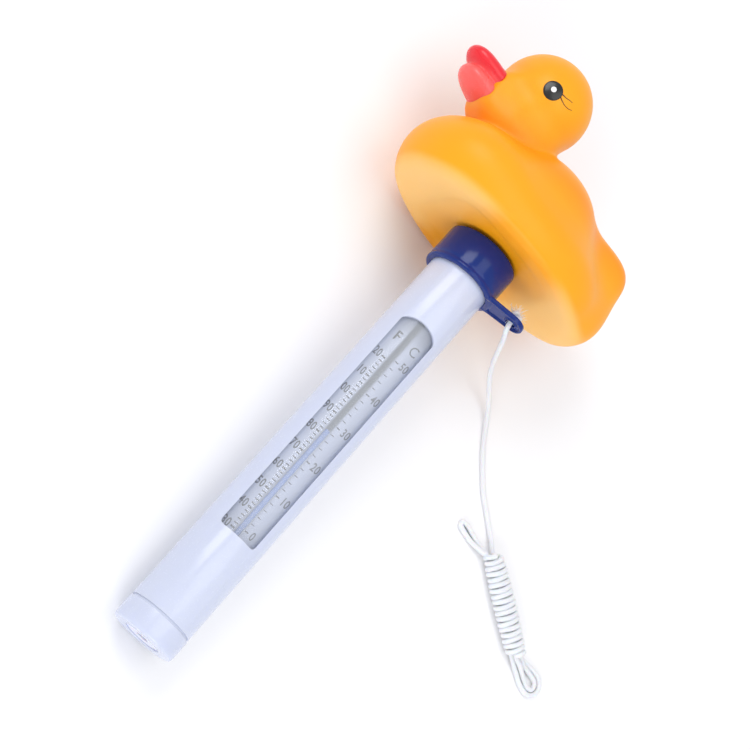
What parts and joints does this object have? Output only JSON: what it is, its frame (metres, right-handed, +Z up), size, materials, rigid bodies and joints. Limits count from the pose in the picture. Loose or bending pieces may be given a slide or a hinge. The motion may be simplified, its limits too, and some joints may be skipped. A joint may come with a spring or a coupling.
{
  "type": "floating pool thermometer",
  "caption": "Floating pool thermometer: a hollow vinyl duck carries a white tube with a liquid-in-glass scale behind a window, a screw-on collar with a cord lug, a bottom cap and a wound cord.",
  "frame": {"origin": "centre of the object's footprint on the surface that it lies on, measured without the cord", "axes": "+Z up, +Y along the tube from the cap to the duck's head, +X towards the tail; the part lies on the duck's flank and the cap's rim"},
  "size_m": [0.1945, 0.2548, 0.0658],
  "materials": {
    "yellow_vinyl": "satin",
    "red_vinyl": "satin",
    "eye_paint": "gloss",
    "blue_plastic": "gloss",
    "pale_rubber": "matte",
    "white_plastic": "gloss",
    "pale_plastic": "satin",
    "clear_plastic": "clear",
    "card": "matte",
    "black_ink": "matte",
    "glass": "clear",
    "blue_liquid": "wet",
    "spring_steel": "satin",
    "steel": "satin",
    "white_cord": "braided"
  },
  "bodies": {
    "float": {"duck_shell": "yellow_vinyl", "bill": "red_vinyl", "eyes": "eye_paint", "collar": "blue_plastic", "cord_knot": "white_cord", "cord_lead": "white_cord", "cord_hank": "white_cord"},
    "collar_thread": {"collar_gasket": "pale_rubber"},
    "tube": {"outer_tube": "white_plastic", "window_sleeve": "clear_plastic", "top_plug": "white_plastic", "bottom_plug": "white_plastic", "scale_card": "card", "scale_marks": "black_ink", "glass_capillary": "glass", "liquid_column": "blue_liquid", "capillary_clips": "spring_steel", "ballast_weight": "steel"},
    "liquid_top": {"liquid_tip": "blue_liquid"},
    "cap_thread": {"cap_gasket": "pale_rubber"},
    "cap": {"bottom_cap": "white_plastic", "cap_disc": "pale_plastic"}
  },
  "joints": [
    {"name": "tube_travel", "type": "slide", "parent": "float", "child": "collar_thread", "axis": [0, -0.9938, -0.1113], "range_m": [0, 0.006]},
    {"name": "tube_turn", "type": "hinge", "parent": "collar_thread", "child": "tube", "pos_m": [0.0018, 0.04274, 0.03084], "axis": [0, -0.9938, -0.1113], "range_deg": [0, 720]},
    {"name": "liquid_rise", "type": "slide", "parent": "tube", "child": "liquid_top", "axis": [0, 0.9938, 0.1113], "range_m": [-0.04435, 0.03485], "deforming": ["liquid_column"]},
    {"name": "cap_travel", "type": "slide", "parent": "tube", "child": "cap_thread", "axis": [0, -0.9938, -0.1113], "range_m": [0, 0.004]},
    {"name": "cap_turn", "type": "hinge", "parent": "cap_thread", "child": "cap", "pos_m": [0.0018, -0.12222, 0.01237], "axis": [0, -0.9938, -0.1113], "range_deg": [0, 720]}
  ],
  "couplings": [
    {"joint": "tube_travel", "follows": "tube_turn", "m_per_rad": 0.00047746},
    {"joint": "cap_travel", "follows": "cap_turn", "m_per_rad": 0.00031831}
  ]
}
